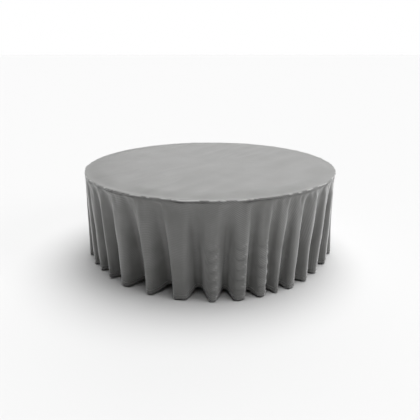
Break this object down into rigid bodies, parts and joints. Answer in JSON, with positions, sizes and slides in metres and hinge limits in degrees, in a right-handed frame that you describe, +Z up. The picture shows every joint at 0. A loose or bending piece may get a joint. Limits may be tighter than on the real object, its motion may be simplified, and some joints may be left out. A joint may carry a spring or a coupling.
{
  "type": "tablecloth on a round folding table",
  "caption": "Floor-length round grey tablecloth hanging in deep upright folds over a round banquet table with folding wishbone leg frames and jointed braces.",
  "frame": {"origin": "on the floor under the centre of the round table", "axes": "+Z up, -Y towards the front, +X east; the two leg frames stand on +X and -X"},
  "size_m": [2.0073, 2.0074, 0.7373],
  "materials": {
    "tablecloth": "woven grey polyester with a soft sheen",
    "hem": "the same cloth, turned and stitched",
    "plywood": "varnished birch plywood",
    "batten": "planed softwood",
    "edge_band": "moulded vinyl",
    "steel_tube": "powder-coated",
    "zinc_plate": "zinc plated",
    "fasteners": "zinc plated",
    "rubber_foot": "moulded"
  },
  "bodies": {
    "table_top": {"top_panel": "plywood", "edge_band": "edge_band", "side_rail_front": "batten", "side_rail_back": "batten", "cross_rail_east": "batten", "cross_rail_west": "batten", "rail_screw_front_1": "fasteners", "rail_screw_front_2": "fasteners", "rail_screw_front_3": "fasteners", "rail_screw_back_1": "fasteners", "rail_screw_back_2": "fasteners", "rail_screw_back_3": "fasteners", "hinge_bracket_east_front": "zinc_plate", "hinge_bracket_east_back": "zinc_plate", "bracket_screw_east_front_1": "fasteners", "bracket_screw_east_front_2": "fasteners", "bracket_screw_east_back_1": "fasteners", "bracket_screw_east_back_2": "fasteners", "brace_east_anchor": "steel_tube", "brace_east_anchor_pin": "fasteners", "anchor_screw_east_1": "fasteners", "anchor_screw_east_2": "fasteners", "hinge_bracket_west_front": "zinc_plate", "hinge_bracket_west_back": "zinc_plate", "bracket_screw_west_front_1": "fasteners", "bracket_screw_west_front_2": "fasteners", "bracket_screw_west_back_1": "fasteners", "bracket_screw_west_back_2": "fasteners", "brace_west_anchor": "steel_tube", "brace_west_anchor_pin": "fasteners", "anchor_screw_west_1": "fasteners", "anchor_screw_west_2": "fasteners"},
    "leg_frame_east": {"leg_east_pivot_tube": "steel_tube", "leg_east_tube_front": "steel_tube", "leg_east_tube_back": "steel_tube", "leg_east_cross_bar": "steel_tube", "leg_east_brace_lug": "steel_tube", "leg_east_lug_pin": "fasteners", "leg_east_foot_front": "rubber_foot", "leg_east_foot_back": "rubber_foot"},
    "upper_link_east": {"brace_east_upper_link": "zinc_plate", "brace_east_knee_rivet": "fasteners"},
    "lower_link_east": {"brace_east_lower_link": "zinc_plate", "brace_east_knee_rivet_cap": "fasteners"},
    "leg_frame_west": {"leg_west_pivot_tube": "steel_tube", "leg_west_tube_front": "steel_tube", "leg_west_tube_back": "steel_tube", "leg_west_cross_bar": "steel_tube", "leg_west_brace_lug": "steel_tube", "leg_west_lug_pin": "fasteners", "leg_west_foot_front": "rubber_foot", "leg_west_foot_back": "rubber_foot"},
    "upper_link_west": {"brace_west_upper_link": "zinc_plate", "brace_west_knee_rivet": "fasteners"},
    "lower_link_west": {"brace_west_lower_link": "zinc_plate", "brace_west_knee_rivet_cap": "fasteners"},
    "cloth": {"tablecloth": "tablecloth", "hem": "hem"}
  },
  "joints": [
    {"name": "leg_east_fold", "type": "hinge", "parent": "table_top", "child": "leg_frame_east", "pos_m": [0.7393, 0, 0.66], "axis": [0, 1, 0], "range_deg": [0, 90]},
    {"name": "upper_link_east_swing", "type": "hinge", "parent": "table_top", "child": "upper_link_east", "pos_m": [0.3793, 0, 0.691], "axis": [0, 1, 0], "range_deg": [-45.2, 0]},
    {"name": "lower_link_east_swing", "type": "hinge", "parent": "leg_frame_east", "child": "lower_link_east", "pos_m": [0.7083, 0, 0.36], "axis": [0, 1, 0], "range_deg": [0, 44.9]},
    {"name": "leg_west_fold", "type": "hinge", "parent": "table_top", "child": "leg_frame_west", "pos_m": [-0.7393, 0, 0.66], "axis": [0, -1, 0], "range_deg": [0, 90]},
    {"name": "upper_link_west_swing", "type": "hinge", "parent": "table_top", "child": "upper_link_west", "pos_m": [-0.3793, 0, 0.691], "axis": [0, -1, 0], "range_deg": [-45.2, 0]},
    {"name": "lower_link_west_swing", "type": "hinge", "parent": "leg_frame_west", "child": "lower_link_west", "pos_m": [-0.7083, 0, 0.36], "axis": [0, -1, 0], "range_deg": [0, 44.9]},
    {"name": "tablecloth_lift", "type": "slide", "parent": "table_top", "child": "cloth", "axis": [0, 0, 1], "range_m": [0, 0.8], "deforming": ["tablecloth", "hem"]}
  ],
  "couplings": [
    {"joint": "upper_link_east_swing", "follows": "leg_east_fold", "ratio": -0.50193},
    {"joint": "lower_link_east_swing", "follows": "leg_east_fold", "ratio": 0.49807},
    {"joint": "upper_link_west_swing", "follows": "leg_west_fold", "ratio": -0.50193},
    {"joint": "lower_link_west_swing", "follows": "leg_west_fold", "ratio": 0.49807}
  ]
}
